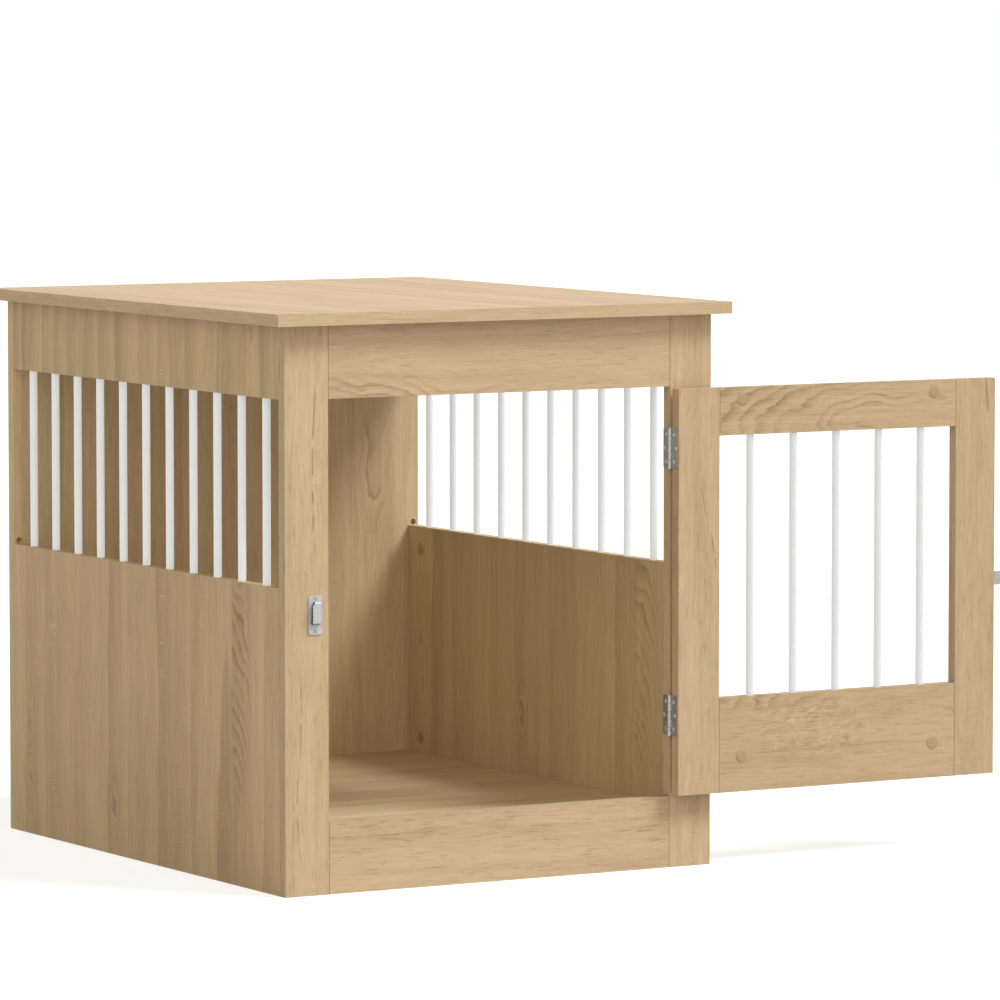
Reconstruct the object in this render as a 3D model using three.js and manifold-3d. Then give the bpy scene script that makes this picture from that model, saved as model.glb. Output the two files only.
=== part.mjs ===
// Dog crate end table: a board-built cabinet with barred side windows, a barred front door on two
// butt hinges, and a flat slide bolt that throws into a pressed keeper. Modelled as it stands with
// the door swung right back and the bolt left thrown.
//
// Millimetres, +Z up. X runs to the right as seen from the front, Y from the front to the back.
// The origin is on the floor, under the middle of the front bottom rail.

import * as THREE from 'three';
import { mergeVertices } from 'three/addons/utils/BufferGeometryUtils.js';
import Module from 'manifold-3d';

// ---- Driving dimensions: the cabinet ------------------------------------------------------------

const boardThickness = 15;
const seam = 0.3; // what a butt joint between two boards leaves open
const bodyWidth = 607;
const bodyDepth = 760;
const bodyHeight = 695; // floor to the underside of the top
const topThickness = 15;
const topSideOverhang = 19;
const topEndOverhang = 20;

const frontStileWidth = 60;
const frontTopRailHeight = 90;
const frontBottomRailHeight = 90;
const sidePanelHeight = 376;
const sideRailHeight = 90;
const floorLevel = 70; // floor to the top of the floor panel
const floorPanelThickness = 15;

const spareHoleDiameter = 8; // two drilled holes that no fitting uses, above the side panels
const spareHoleDepth = 8;
const spareHoleRise = 4.3; // hole centre above the side panel's edge

// ---- Driving dimensions: the bars ---------------------------------------------------------------

const barDiameter = 10;
const barSeatDepth = 12; // how deep each hole for a bar end is drilled
const barSeatClearance = 0.3; // round the bar and under its end
const sideBarCount = 11;
const sideBarEndDistance = 45; // window's end to the first bar's centre
const doorBarCount = 5;
const doorBarEndDistance = 50;

// ---- Driving dimensions: the door ---------------------------------------------------------------

const doorThickness = 15;
const doorHingeGap = 4; // between the door's edge and the stile, leaves included
const doorLatchGap = 6;
const doorTopGap = 2.5;
const doorBottomGap = 2.5;
const doorStileWidth = 60;
const doorTopRailHeight = 60;
const doorBottomRailHeight = 120;
const doorOpenAngle = 180; // degrees from closed, the pose that is modelled

// ---- Driving dimensions: the cam locks ----------------------------------------------------------

const camDiameter = 15;
const camDepth = 12;
const camClearance = 0.2;
const camRimBevel = 0.5; // round the capped end that shows
const camFromSeam = 34; // cam centre to the seam that it draws shut
const camAboveBottomRailFoot = 45;
const camBelowTopRailHead = 15;
const sideCamBelowWindow = 30;
const sideCamAboveFoot = 90;

// ---- Driving dimensions: the butt hinges --------------------------------------------------------

const hingeLength = 50;
const hingeSetForward = 3; // pin centre in front of the cabinet's front face
const knuckleCount = 5;
const knuckleDiameter = 6.8;
const knuckleGap = 0.4;
const hingePinDiameter = 4;
const hingePinClearance = 0.15;
const hingePinHeadDiameter = 6;
const hingePinHeadHeight = 0.8;
const leafThickness = 1.2;
const leafReach = 13.5; // how far a leaf lies over the board's edge
const leafCornerRadius = 2;
const leafScrewSpacing = 17; // from the middle screw up and down to the outer two
const leafScrewStagger = 3.8; // the middle screw lies further from the pin
const leafScrewReach = 6; // outer screws, from the board's front face
const upperHingeFromDoorTop = 74.5; // to the hinge's middle
const lowerHingeFromDoorBottom = 100;

// ---- Driving dimensions: the slide bolt ---------------------------------------------------------

const fittingSeat = 0.2; // paint and edge band left between a metal fitting and its board
const fittingThickness = 1.2;
const screwHoleDiameter = 3.4;
const countersinkDiameter = 6;

const boltHeightAboveFloor = 343;
const boltWidth = 18;
const boltThickness = 3;
const boltCornerRadius = 3;
const boltEdgeBevel = 0.5;
const boltThrow = 25; // past the door's free edge; it draws back flush
const boltTail = 35; // behind the door's free edge when thrown
const boltClearance = 0.4;

const guidePlateLength = 55;
const guidePlateWidth = 40;
const guidePlateInset = 3; // from the door's free edge
const guideCornerRadius = 4;
const guideScrewInset = 5.5;
const guideStrapLength = 18;
const guideStrapInset = 5; // from the door's free edge
const guideStrapBend = 2.4; // outer radius where the strap turns down to the plate

const knobDiameter = 9;
const knobHeight = 8;
const knobNeckDiameter = 5;
const knobNeckHeight = 3.5;
const knobShankDiameter = 4;
const knobFromTail = 3.6; // shank centre to the bolt's tail, less the shank's radius
const knobShankClearance = 0.2;

const keeperLength = 48;
const keeperWidth = 19;
const keeperCornerRadius = 4.5;
const keeperFromOpening = 9; // plate's edge to the stile's inner edge
const keeperScrewInset = 4.2;
const keeperPocketLength = 27.6;
const keeperPocketWidth = 11.5;
const keeperPocketFromEdge = 4.4; // pocket's mouth to the plate's edge
const keeperPocketRise = 2.6; // pocket's middle above the plate's
const keeperPocketBend = 3.2; // outer radius of the pocket's closed corners
const keeperPocketClearance = 0.8; // over the bolt's face

// ---- Facets -------------------------------------------------------------------------------------

const barSides = 16;
const fittingSides = 20;
const camSides = 28;
const screwHoleSides = 12;
const cornerSegments = 4;

// ---- Places that follow from the sizes ----------------------------------------------------------

const frontFace = -boardThickness / 2;
const frameBack = frontFace + boardThickness;
const backFace = frontFace + bodyDepth;
const backPanelFront = backFace - boardThickness;
const halfWidth = bodyWidth / 2;
const sideWallX = halfWidth - boardThickness / 2; // middle of a side wall's thickness
const carcassTop = bodyHeight - seam;
const openingHalfWidth = halfWidth - frontStileWidth;
const openingBottom = frontBottomRailHeight;
const openingTop = bodyHeight - frontTopRailHeight;
const sideWallLength = backPanelFront - frameBack;
const sideWallY = (frameBack + backPanelFront) / 2;

const hingeAxisX = openingHalfWidth - doorHingeGap / 2;
const hingeAxisY = frontFace - hingeSetForward;

// ---- Materials ----------------------------------------------------------------------------------

const oakBoard = new THREE.MeshStandardMaterial({ color: 0xc4a882, roughness: 0.62, metalness: 0 });
const oakCap = new THREE.MeshStandardMaterial({ color: 0xb89c76, roughness: 0.55, metalness: 0 });
const whitePaint = new THREE.MeshStandardMaterial({ color: 0xf1f0ec, roughness: 0.4, metalness: 0 });
const zincPlate = new THREE.MeshStandardMaterial({ color: 0xa9abad, roughness: 0.35, metalness: 0.9 });

// ---- Solid joins and cuts -----------------------------------------------------------------------

const wasm = await Module();
wasm.setup();

const weldTolerance = 1e-4;

function toSolid(geometry) {
  const bare = geometry.clone();
  bare.deleteAttribute('normal');
  bare.deleteAttribute('uv');
  const welded = mergeVertices(bare, weldTolerance);
  return new wasm.Manifold(new wasm.Mesh({
    numProp: 3,
    vertProperties: new Float32Array(welded.attributes.position.array),
    triVerts: new Uint32Array(welded.index.array),
  }));
}

function toGeometry(solid) {
  const { vertProperties, triVerts } = solid.getMesh();
  const geometry = new THREE.BufferGeometry();
  geometry.setAttribute('position', new THREE.BufferAttribute(vertProperties, 3));
  geometry.setIndex(new THREE.BufferAttribute(triVerts, 1));
  geometry.computeVertexNormals();
  return geometry;
}

function join(geometries) {
  return toGeometry(geometries.map(toSolid).reduce((whole, piece) => whole.add(piece)));
}

function cut(geometry, cutters) {
  return toGeometry(cutters.map(toSolid).reduce((rest, cutter) => rest.subtract(cutter), toSolid(geometry)));
}

// ---- Shared shapes ------------------------------------------------------------------------------

function addPiece(parent, name, material, geometry, x, y, z) {
  const mesh = new THREE.Mesh(geometry, material);
  mesh.name = name;
  mesh.position.set(x, y, z);
  parent.add(mesh);
}

// A board between two corners, each given as [x, y, z]
function addBoard(parent, name, low, high) {
  const size = high.map((value, i) => value - low[i]);
  const middle = high.map((value, i) => (value + low[i]) / 2);
  addPiece(parent, name, oakBoard, new THREE.BoxGeometry(...size), ...middle);
}

// A round rod along Z, centred on its own middle
function rod(diameter, length, sides) {
  return new THREE.CylinderGeometry(diameter / 2, diameter / 2, length, sides).rotateX(Math.PI / 2);
}

// A round rod along Y
function crossRod(diameter, length, sides) {
  return new THREE.CylinderGeometry(diameter / 2, diameter / 2, length, sides);
}

// A flat plate with rounded corners that stands up facing -Y: width along X, height along Z,
// its back on the plane y = 0, its edges bevelled if a bevel is given
function roundedPlate(width, height, thickness, radius, bevel = 0) {
  const x = width / 2 - radius;
  const z = height / 2 - radius;
  const outline = new THREE.Shape();
  outline.absarc(x, z, radius, 0, Math.PI / 2);
  outline.absarc(-x, z, radius, Math.PI / 2, Math.PI);
  outline.absarc(-x, -z, radius, Math.PI, Math.PI * 1.5);
  outline.absarc(x, -z, radius, Math.PI * 1.5, Math.PI * 2);
  const plate = new THREE.ExtrudeGeometry(outline, {
    depth: thickness - 2 * bevel,
    bevelEnabled: bevel > 0,
    bevelThickness: bevel,
    bevelSize: bevel,
    bevelOffset: -bevel,
    bevelSegments: 1,
    curveSegments: cornerSegments,
  });
  return plate.translate(0, 0, bevel).rotateX(Math.PI / 2);
}

// An arch along Z: a box that stands on the X axis, its two upper corners rounded
function arch(width, height, length, radius) {
  const x = width / 2;
  const outline = new THREE.Shape();
  outline.moveTo(-x, 0);
  outline.lineTo(x, 0);
  outline.absarc(x - radius, height - radius, radius, 0, Math.PI / 2);
  outline.absarc(radius - x, height - radius, radius, Math.PI / 2, Math.PI);
  return new THREE.ExtrudeGeometry(outline, {
    depth: length,
    bevelEnabled: false,
    curveSegments: cornerSegments,
  });
}

// A turned shape about Z from [radius, z] steps, lowest first
function turned(steps, sides) {
  const profile = steps.map(([radius, z]) => new THREE.Vector2(radius, z));
  return new THREE.LatheGeometry(profile, sides).rotateX(Math.PI / 2);
}

// A countersunk screw hole through a plate whose back is on y = 0, cut from the -Y side
function screwHole(plateThickness, x, z) {
  const hole = new THREE.CylinderGeometry(
    screwHoleDiameter / 2,
    countersinkDiameter / 2,
    plateThickness,
    screwHoleSides,
  );
  return hole.translate(x, -plateThickness / 2, z);
}

// Evenly spaced offsets about zero, with the first and last `span` apart
function spread(count, span) {
  return Array.from({ length: count }, (_, i) => (i / (count - 1) - 0.5) * span);
}

function numbered(name, i) {
  return `${name}_${String(i + 1).padStart(2, '0')}`;
}

// ---- The cam locks ------------------------------------------------------------------------------

// A cam lock draws one board onto the next. Its drum lies in a round blind pocket, and a wood-toned
// cap covers the end that shows. Both run along Z here, the board's face at z = 0.
const camPocket = rod(camDiameter + 2 * camClearance, camDepth * 2, camSides);
const camRim = camDiameter / 2;
const camDrum = turned(
  [
    [0, camClearance - camDepth],
    [camRim, camClearance - camDepth],
    [camRim, -camRimBevel],
    [camRim - camRimBevel, 0],
    [0, 0],
  ],
  camSides,
);

// ---- The cabinet --------------------------------------------------------------------------------

const cabinet = new THREE.Group();

addBoard(
  cabinet,
  'top_panel',
  [-halfWidth - topSideOverhang, frontFace - topEndOverhang, bodyHeight],
  [halfWidth + topSideOverhang, backFace + topEndOverhang, bodyHeight + topThickness],
);

for (const [side, direction] of [['left', -1], ['right', 1]]) {
  const edges = [direction * halfWidth, direction * openingHalfWidth].sort((a, b) => a - b);
  addBoard(
    cabinet,
    `front_stile_${side}`,
    [edges[0], frontFace, 0],
    [edges[1], frameBack, carcassTop],
  );
}

const frontRailHalfWidth = openingHalfWidth - seam;
addBoard(
  cabinet,
  'front_rail_top',
  [-frontRailHalfWidth, frontFace, openingTop],
  [frontRailHalfWidth, frameBack, carcassTop],
);
addBoard(
  cabinet,
  'front_rail_bottom',
  [-frontRailHalfWidth, frontFace, 0],
  [frontRailHalfWidth, frameBack, openingBottom],
);

const floorHalfWidth = halfWidth - boardThickness - seam;
addBoard(
  cabinet,
  'floor_panel',
  [-floorHalfWidth, frameBack + seam, floorLevel - floorPanelThickness],
  [floorHalfWidth, backPanelFront - seam, floorLevel],
);

// The back panel closes the whole back. Two drilled holes that nothing uses show on its inner
// face, one above each side panel.
const backBoard = new THREE.BoxGeometry(bodyWidth, boardThickness, carcassTop);
const spareHoles = [-sideWallX, sideWallX].map((x) => {
  const hole = crossRod(spareHoleDiameter, spareHoleDepth * 2, screwHoleSides);
  return hole.translate(x, -boardThickness / 2, sidePanelHeight + spareHoleRise - carcassTop / 2);
});
addPiece(
  cabinet,
  'back_panel',
  oakBoard,
  cut(backBoard, spareHoles),
  0,
  backFace - boardThickness / 2,
  carcassTop / 2,
);

// ---- The side walls and their bars --------------------------------------------------------------

// Each side wall is a panel below and a rail above, with bars between them. The bar ends stand in
// blind holes that are drilled into both boards from the window.
function barHoles(offsets, direction) {
  return offsets.map((offset) => {
    const hole = rod(barDiameter + 2 * barSeatClearance, barSeatDepth * 2, barSides);
    return hole.translate(...direction.clone().multiplyScalar(offset));
  });
}

function barBetween(lowEdge, highEdge) {
  return rod(barDiameter, highEdge - lowEdge + 2 * (barSeatDepth - barSeatClearance), barSides);
}

const alongY = new THREE.Vector3(0, 1, 0);
const alongX = new THREE.Vector3(1, 0, 0);
const sideBoardLength = sideWallLength - 2 * seam;
const sideWindowTop = bodyHeight - sideRailHeight;
const sideBarOffsets = spread(sideBarCount, sideWallLength - 2 * sideBarEndDistance);
const sideBarHoles = barHoles(sideBarOffsets, alongY);
const sideBar = barBetween(sidePanelHeight, sideWindowTop);

// Two cam locks in each side panel's inner face draw it onto the back panel
const sideCamY = backPanelFront - camFromSeam - sideWallY;
const sideCamHeights = [sideCamAboveFoot, sidePanelHeight - sideCamBelowWindow];

for (const [side, inward] of [['left', 1], ['right', -1]]) {
  const x = -inward * sideWallX;
  const innerFace = (inward * boardThickness) / 2;
  const panel = new THREE.BoxGeometry(boardThickness, sideBoardLength, sidePanelHeight);
  panel.translate(0, 0, -sidePanelHeight / 2);
  const pockets = sideCamHeights.map((height) => {
    const pocket = camPocket.clone().rotateY((inward * Math.PI) / 2);
    return pocket.translate(innerFace, sideCamY, height - sidePanelHeight);
  });
  const cutters = [...sideBarHoles, ...pockets];
  addPiece(cabinet, `side_panel_${side}`, oakBoard, cut(panel, cutters), x, sideWallY, sidePanelHeight);
  sideCamHeights.forEach((height, i) => {
    const cam = camDrum.clone().rotateY((inward * Math.PI) / 2);
    const name = numbered(`side_panel_${side}_cam`, i);
    addPiece(cabinet, name, oakCap, cam, x + innerFace, sideWallY + sideCamY, height);
  });

  const railHeight = carcassTop - sideWindowTop;
  const rail = new THREE.BoxGeometry(boardThickness, sideBoardLength, railHeight);
  rail.translate(0, 0, railHeight / 2);
  addPiece(cabinet, `side_rail_${side}`, oakBoard, cut(rail, sideBarHoles), x, sideWallY, sideWindowTop);

  sideBarOffsets.forEach((offset, i) => {
    const z = (sidePanelHeight + sideWindowTop) / 2;
    addPiece(cabinet, numbered(`side_bar_${side}`, i), whitePaint, sideBar, x, sideWallY + offset, z);
  });
}

// ---- The door -----------------------------------------------------------------------------------

// The door is laid out closed, from the hinge pin's line as its own origin, and then swung open.
const doorWidth = 2 * openingHalfWidth - doorHingeGap - doorLatchGap;
const doorBottom = openingBottom + doorBottomGap;
const doorTop = openingTop - doorTopGap;
const doorHingeEdge = -doorHingeGap / 2;
const doorFreeEdge = doorHingeEdge - doorWidth;
const doorOuterFace = hingeSetForward;
const doorInnerFace = doorOuterFace + doorThickness;

const door = new THREE.Group();
door.position.set(hingeAxisX, hingeAxisY, 0);
door.rotation.z = THREE.MathUtils.degToRad(doorOpenAngle);

addBoard(
  door,
  'door_stile_hinge',
  [doorHingeEdge - doorStileWidth, doorOuterFace, doorBottom],
  [doorHingeEdge, doorInnerFace, doorTop],
);
addBoard(
  door,
  'door_stile_latch',
  [doorFreeEdge, doorOuterFace, doorBottom],
  [doorFreeEdge + doorStileWidth, doorInnerFace, doorTop],
);

const doorMiddleX = (doorHingeEdge + doorFreeEdge) / 2;
const doorMiddleY = (doorOuterFace + doorInnerFace) / 2;
const doorWindowWidth = doorWidth - 2 * doorStileWidth;
const doorRailLength = doorWindowWidth - 2 * seam;
const doorWindowBottom = doorBottom + doorBottomRailHeight;
const doorWindowTop = doorTop - doorTopRailHeight;
const doorBarOffsets = spread(doorBarCount, doorWindowWidth - 2 * doorBarEndDistance);
const doorBarHoles = barHoles(doorBarOffsets, alongX);
const doorBar = barBetween(doorWindowBottom, doorWindowTop);

// A cam lock in the inner face draws each rail end onto its stile
const camOffsets = spread(2, doorWindowWidth - 2 * camFromSeam);

function addDoorRail(name, height, direction, windowEdge, camHeight) {
  const rail = new THREE.BoxGeometry(doorRailLength, doorThickness, height);
  rail.translate(0, 0, (direction * height) / 2);
  const pockets = camOffsets.map((offset) => {
    const pocket = camPocket.clone().rotateX(-Math.PI / 2);
    return pocket.translate(offset, doorThickness / 2, camHeight);
  });
  const cutters = [...doorBarHoles, ...pockets];
  addPiece(door, name, oakBoard, cut(rail, cutters), doorMiddleX, doorMiddleY, windowEdge);
  camOffsets.forEach((offset, i) => {
    const cam = camDrum.clone().rotateX(-Math.PI / 2);
    const x = doorMiddleX + offset;
    addPiece(door, numbered(`${name}_cam`, i), oakCap, cam, x, doorInnerFace, windowEdge + camHeight);
  });
}

const bottomCamHeight = camAboveBottomRailFoot - doorBottomRailHeight;
const topCamHeight = doorTopRailHeight - camBelowTopRailHead;
addDoorRail('door_rail_bottom', doorBottomRailHeight, -1, doorWindowBottom, bottomCamHeight);
addDoorRail('door_rail_top', doorTopRailHeight, 1, doorWindowTop, topCamHeight);

doorBarOffsets.forEach((offset, i) => {
  const z = (doorWindowBottom + doorWindowTop) / 2;
  addPiece(door, numbered('door_bar', i), whitePaint, doorBar, doorMiddleX + offset, doorMiddleY, z);
});

// ---- The butt hinges ----------------------------------------------------------------------------

// A leaf is a flat plate on the board's edge whose knuckles roll round the pin. The frame's leaf
// has every other knuckle from the top one, and the door's leaf has those between. Both are made
// with the door closed, round the pin's line: side is 1 for the frame's leaf, -1 for the door's.
const knucklePitch = (hingeLength + knuckleGap) / knuckleCount;
const knuckleLength = knucklePitch - knuckleGap;
const knuckleHeights = spread(knuckleCount, knucklePitch * (knuckleCount - 1));
const leafMiddleX = doorHingeGap / 2 - fittingSeat - leafThickness / 2;
const leafStartY = knuckleDiameter / 2 + knuckleGap;
const leafEndY = hingeSetForward + leafReach;

function hingeLeaf(side) {
  const leafWidth = leafEndY - leafStartY;
  const plate = roundedPlate(leafWidth, hingeLength, leafThickness, leafCornerRadius);
  const screws = [
    screwHole(leafThickness, leafScrewReach, leafScrewSpacing),
    screwHole(leafThickness, leafScrewReach + leafScrewStagger, 0),
    screwHole(leafThickness, leafScrewReach, -leafScrewSpacing),
  ];
  screws.forEach((screw) => screw.translate(hingeSetForward - (leafStartY + leafEndY) / 2, 0, 0));
  const drilled = cut(plate, screws);

  // Stood along +Y from the pin, with the countersinks facing the other leaf
  const mirror = side > 0 ? Math.PI : 0;
  drilled.translate(0, leafThickness / 2, 0);
  drilled.rotateX(mirror).rotateZ(Math.PI / 2);
  drilled.translate(side * leafMiddleX, (leafStartY + leafEndY) / 2, 0);

  const ownKnuckles = knuckleHeights.filter((_, i) => (i % 2 === 0) === side > 0);
  const rolls = ownKnuckles.flatMap((z) => {
    const roll = rod(knuckleDiameter, knuckleLength, fittingSides).translate(0, 0, z);
    const webLength = leafStartY + leafCornerRadius;
    const web = new THREE.BoxGeometry(leafThickness, webLength, knuckleLength);
    return [roll, web.translate(side * leafMiddleX, webLength / 2, z)];
  });
  const bore = rod(hingePinDiameter + 2 * hingePinClearance, hingeLength * 2, fittingSides);
  return cut(join([drilled, ...rolls]), [bore]);
}

function hingePin() {
  const shank = hingePinDiameter / 2;
  const head = hingePinHeadDiameter / 2;
  const headSeat = hingeLength / 2 + hingePinClearance;
  const end = headSeat + hingePinHeadHeight;
  const steps = [
    [0, -end],
    [head, -end],
    [head, -headSeat],
    [shank, -headSeat],
    [shank, headSeat],
    [head, headSeat],
    [head, end],
    [0, end],
  ];
  return turned(steps, fittingSides);
}

const hingeHeights = {
  upper: doorTop - upperHingeFromDoorTop,
  lower: doorBottom + lowerHingeFromDoorBottom,
};

for (const [place, z] of Object.entries(hingeHeights)) {
  addPiece(cabinet, `hinge_${place}_frame_leaf`, zincPlate, hingeLeaf(1), hingeAxisX, hingeAxisY, z);
  addPiece(cabinet, `hinge_${place}_pin`, zincPlate, hingePin(), hingeAxisX, hingeAxisY, z);
  addPiece(door, `hinge_${place}_door_leaf`, zincPlate, hingeLeaf(-1), 0, 0, z);
}

// ---- The slide bolt -----------------------------------------------------------------------------

// Depths are counted forward from the face that the fittings are screwed to.
const plateFront = fittingSeat + fittingThickness;
const boltBack = plateFront + boltClearance;
const boltFront = boltBack + boltThickness;
const guideInside = boltFront + boltClearance;

// The keeper is one pressed plate: its pocket is raised from the plate and open towards the door.
function keeper() {
  const plate = roundedPlate(keeperWidth, keeperLength, fittingThickness, keeperCornerRadius);
  plate.translate(0, -fittingSeat, 0);
  const pocketInside = boltFront + keeperPocketClearance;
  const pocketFront = pocketInside + fittingThickness;
  const mouthX = keeperWidth / 2 - keeperPocketFromEdge;
  const hood = arch(
    keeperPocketLength,
    keeperPocketWidth,
    pocketFront - fittingSeat,
    keeperPocketBend,
  );
  hood.rotateX(Math.PI / 2).rotateY(-Math.PI / 2);
  hood.translate(mouthX, -fittingSeat, keeperPocketRise);
  const hollow = arch(
    keeperPocketLength - 2 * fittingThickness,
    keeperPocketWidth,
    pocketInside - plateFront,
    keeperPocketBend - fittingThickness,
  );
  hollow.rotateX(Math.PI / 2).rotateY(-Math.PI / 2);
  hollow.translate(mouthX + fittingThickness, -plateFront, keeperPocketRise);
  const screws = [1, -1].map((end) => {
    const hole = screwHole(fittingThickness, 0, end * (keeperLength / 2 - keeperScrewInset));
    return hole.translate(0, -fittingSeat, 0);
  });
  return cut(join([plate, hood]), [hollow, ...screws]);
}

addPiece(
  cabinet,
  'bolt_keeper',
  zincPlate,
  keeper(),
  -openingHalfWidth - keeperFromOpening - keeperWidth / 2,
  frontFace,
  boltHeightAboveFloor,
);

// The latch is laid out from the door's free edge: X runs into the door, forward is -Y.
const latch = new THREE.Group();
latch.position.set(doorFreeEdge, doorOuterFace, boltHeightAboveFloor);
door.add(latch);

const shankX = boltTail - knobFromTail - knobShankDiameter / 2;
const shankHoleDiameter = knobShankDiameter + 2 * knobShankClearance;

// The guide is a screwed plate with one strap bent over the bolt. A slot in the plate lets the
// knob's shank travel and stops it at both ends.
function boltGuide() {
  const plate = roundedPlate(guidePlateLength, guidePlateWidth, fittingThickness, guideCornerRadius);
  const plateMiddle = guidePlateInset + guidePlateLength / 2;
  plate.translate(plateMiddle, -fittingSeat, 0);

  const strapWidth = boltWidth + 2 * (boltClearance + fittingThickness);
  const strapFront = guideInside + fittingThickness;
  const strap = arch(strapWidth, strapFront - fittingSeat, guideStrapLength, guideStrapBend);
  strap.rotateX(Math.PI).rotateY(-Math.PI / 2).translate(guideStrapInset, -fittingSeat, 0);
  const tunnel = arch(
    boltWidth + 2 * boltClearance,
    guideInside - plateFront,
    guideStrapLength * 2,
    guideStrapBend - fittingThickness,
  );
  tunnel.rotateX(Math.PI).rotateY(-Math.PI / 2);
  tunnel.translate(guideStrapInset - guideStrapLength / 2, -plateFront, 0);

  const slot = roundedPlate(
    boltThrow + shankHoleDiameter,
    shankHoleDiameter,
    plateFront * 2,
    knobShankDiameter / 2,
  );
  slot.translate(shankX + boltThrow / 2, 0, 0);

  const screws = [];
  for (const endX of [-1, 1]) {
    for (const endZ of [-1, 1]) {
      const x = plateMiddle + endX * (guidePlateLength / 2 - guideScrewInset);
      const z = endZ * (guidePlateWidth / 2 - guideScrewInset);
      screws.push(screwHole(fittingThickness, x, z).translate(0, -fittingSeat, 0));
    }
  }
  return cut(join([plate, strap]), [tunnel, slot, ...screws]);
}

addPiece(latch, 'bolt_guide', zincPlate, boltGuide(), 0, 0, 0);

function slideBolt() {
  const length = boltThrow + boltTail;
  const bar = roundedPlate(length, boltWidth, boltThickness, boltCornerRadius, boltEdgeBevel);
  bar.translate(boltTail - length / 2, -boltBack, 0);
  const hole = crossRod(shankHoleDiameter, boltThickness * 4, fittingSides);
  return cut(bar, [hole.translate(shankX, -boltBack, 0)]);
}

addPiece(latch, 'slide_bolt', zincPlate, slideBolt(), 0, 0, 0);

// The knob is turned in one piece. Its shank goes through the bolt and ends in the guide's slot.
function boltKnob() {
  const neckFoot = boltFront + knobShankClearance;
  const headFoot = neckFoot + knobNeckHeight;
  const headTop = headFoot + knobHeight;
  const rim = knobDiameter / 2;
  const waist = knobNeckDiameter / 2;
  const shank = knobShankDiameter / 2;
  const dome = spread(3, 1).map((t) => {
    const angle = (t + 0.5) * (Math.PI / 2);
    return [rim * Math.cos(angle), headTop - rim + rim * Math.sin(angle)];
  });
  dome[dome.length - 1][0] = 0;
  const steps = [
    [0, fittingSeat],
    [shank, fittingSeat],
    [shank, neckFoot],
    [waist, neckFoot],
    [waist, headFoot],
    [rim, headFoot],
    ...dome,
  ];
  return turned(steps, fittingSides).rotateX(Math.PI / 2);
}

addPiece(latch, 'bolt_knob', zincPlate, boltKnob(), shankX, 0, 0);

// ---- The whole table ----------------------------------------------------------------------------

const crateTable = new THREE.Group();
crateTable.add(cabinet, door);

export default crateTable;
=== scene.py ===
import math

import bmesh
import bpy
from mathutils import Matrix, Vector


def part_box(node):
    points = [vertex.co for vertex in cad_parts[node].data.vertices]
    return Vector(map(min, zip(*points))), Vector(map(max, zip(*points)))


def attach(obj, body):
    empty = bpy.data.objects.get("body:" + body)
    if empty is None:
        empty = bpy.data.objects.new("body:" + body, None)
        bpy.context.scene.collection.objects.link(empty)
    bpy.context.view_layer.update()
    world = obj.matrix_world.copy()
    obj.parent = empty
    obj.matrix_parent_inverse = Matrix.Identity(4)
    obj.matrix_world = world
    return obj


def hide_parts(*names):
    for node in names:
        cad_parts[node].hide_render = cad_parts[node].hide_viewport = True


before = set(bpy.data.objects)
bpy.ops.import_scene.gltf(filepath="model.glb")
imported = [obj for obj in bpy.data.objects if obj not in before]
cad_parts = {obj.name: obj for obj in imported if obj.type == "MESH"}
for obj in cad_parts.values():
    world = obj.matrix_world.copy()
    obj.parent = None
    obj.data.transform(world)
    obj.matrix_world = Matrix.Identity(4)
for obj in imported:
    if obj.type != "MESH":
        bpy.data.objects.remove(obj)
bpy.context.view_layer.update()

# ---- The camera ---------------------------------------------------------------------------------
# A long lens looks at the table from its front left, some eight metres off and a little above the
# top. The lens, place and angles bring the table's edges near to where the photograph has them.

view_heading = math.radians(30.252)
view_dip = math.radians(4.544)

camera_data = bpy.data.cameras.new("camera")
camera_data.sensor_width = 36
camera_data.lens = 234.37
camera = bpy.data.objects.new("camera", camera_data)
camera.location = (-4.0277, -6.9092, 1.1076)
camera.rotation_euler = (math.pi / 2 - view_dip, 0, -view_heading)
bpy.context.scene.collection.objects.link(camera)
bpy.context.scene.camera = camera
bpy.context.scene.view_settings.view_transform = "Standard"

# ---- The top panel ------------------------------------------------------------------------------
# A 15 mm board faced with light sawn-oak laminate, its four edges banded with the same print. It
# lies on the cabinet and hangs over it on all four sides.

X, Y, Z = range(3)


class Wire:
    """An output socket in a material's nodes, which Python's own sums work on."""

    def __init__(self, tree, socket=None):
        self.tree = tree
        self.socket = socket

    def node(self, kind, settings=None, sockets=None, output=0):
        """Adds a node of any type: its settings first, then the values or links of its sockets."""
        made = self.tree.nodes.new("ShaderNode" + kind)
        for name, value in (settings or {}).items():
            setattr(made, name, value)
        for name, value in (sockets or {}).items():
            if isinstance(value, Wire):
                self.tree.links.new(value.socket, made.inputs[name])
            else:
                made.inputs[name].default_value = value
        return Wire(self.tree, made.outputs[output])

    def output(self, name):
        return Wire(self.tree, self.socket.node.outputs[name])

    def math(self, operation, *values):
        return self.node("Math", {"operation": operation}, dict(enumerate(values)))

    def __add__(self, other):
        return self.math("ADD", self, other)

    def __radd__(self, other):
        return self.math("ADD", other, self)

    def __sub__(self, other):
        return self.math("SUBTRACT", self, other)

    def __rsub__(self, other):
        return self.math("SUBTRACT", other, self)

    def __mul__(self, other):
        return self.math("MULTIPLY", self, other)

    def __rmul__(self, other):
        return self.math("MULTIPLY", other, self)

    def __truediv__(self, other):
        return self.math("DIVIDE", self, other)

    def __rtruediv__(self, other):
        return self.math("DIVIDE", other, self)

    def __gt__(self, other):
        return self.math("GREATER_THAN", self, other)


def rising(value, low, high):
    """0 below low, 1 above high, and a smooth step between them."""
    return value.node(
        "MapRange",
        {"interpolation_type": "SMOOTHSTEP"},
        {"Value": value, "From Min": low, "From Max": high},
    )


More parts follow.
